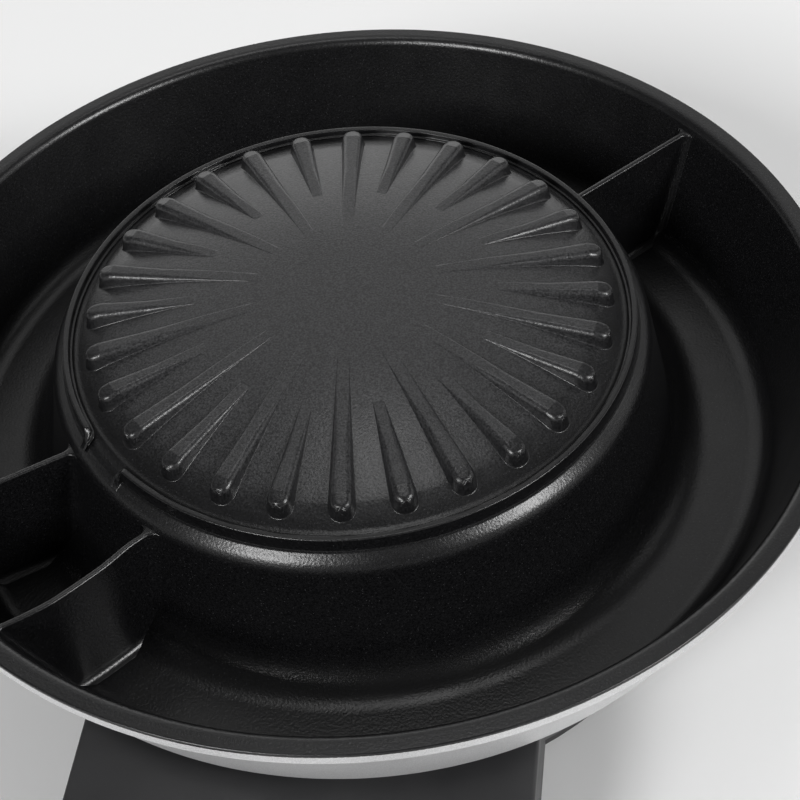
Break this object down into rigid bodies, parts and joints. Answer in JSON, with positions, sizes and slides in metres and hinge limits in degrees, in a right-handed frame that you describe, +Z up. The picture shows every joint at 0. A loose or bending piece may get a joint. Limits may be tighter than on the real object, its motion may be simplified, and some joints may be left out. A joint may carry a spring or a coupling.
{
  "type": "electric hot pot",
  "caption": "Electric hot pot: round coated pan with a raised ribbed grill island and a divided moat, on a heating base with side handles and a front control box.",
  "frame": {"origin": "centre of the footprint, on the table the feet stand on", "axes": "+Z up, -Y towards the user and the control box, +X to the user's right through the right handle"},
  "size_m": [0.4446, 0.389, 0.131],
  "materials": {
    "coated_aluminium": "black non-stick coating inside, light grey paint outside",
    "base_plastic": "fine spark-eroded texture",
    "panel_plastic": "satin",
    "silicone": "matt",
    "foot_rubber": "matt",
    "screw_steel": "zinc plated",
    "handle_plastic": "moulded phenolic, semi-gloss",
    "knob_plastic": "satin",
    "sheath_steel": "heat-tinted",
    "clip_steel": "zinc plated",
    "shield_aluminium": "mill finish",
    "shaft_steel": "turned",
    "nut_brass": "turned",
    "lamp_red": "translucent red",
    "holder_plastic": "natural",
    "capillary_copper": "drawn tube",
    "sleeve_white": "sleeving",
    "block_ceramic": "glazed ceramic look",
    "inlet_plastic": "moulded",
    "wire_insulation": "silicone insulation",
    "wire_earth": "silicone insulation"
  },
  "bodies": {
    "base": {"base_shell": "base_plastic", "bottom_cover": "base_plastic", "clip_screws": "screw_steel", "control_panel": "panel_plastic", "cover_screws": "screw_steel", "earth_lead": "wire_earth", "foot_screws": "screw_steel", "grill_element": "sheath_steel", "grill_element_clips": "clip_steel", "grill_sensor": "capillary_copper", "grill_thermostat": "clip_steel", "handle_screws": "screw_steel", "heat_shield": "shield_aluminium", "inlet_pins": "nut_brass", "inlet_screws": "screw_steel", "lamp_bodies": "holder_plastic", "lamp_lenses": "lamp_red", "left_handle": "handle_plastic", "pan": "coated_aluminium", "pan_gasket": "silicone", "pan_screws": "screw_steel", "pot_element": "sheath_steel", "pot_element_clips": "clip_steel", "pot_sensor": "capillary_copper", "pot_thermostat": "clip_steel", "power_inlet": "inlet_plastic", "right_handle": "handle_plastic", "rubber_feet": "foot_rubber", "terminal_block": "block_ceramic", "thermal_fuse": "sleeve_white", "thermostat_nuts": "nut_brass", "wiring": "wire_insulation"},
    "grill_control": {"grill_knob": "knob_plastic", "grill_shaft": "shaft_steel"},
    "pot_control": {"pot_knob": "knob_plastic", "pot_shaft": "shaft_steel"}
  },
  "joints": [
    {"name": "grill_knob_turn", "type": "hinge", "parent": "base", "child": "grill_control", "pos_m": [-0.04, -0.17234, 0.03641], "axis": [0, 0.8988, -0.4384], "range_deg": [0, 270]},
    {"name": "pot_knob_turn", "type": "hinge", "parent": "base", "child": "pot_control", "pos_m": [0.04, -0.17234, 0.03641], "axis": [0, 0.8988, -0.4384], "range_deg": [0, 270]}
  ]
}
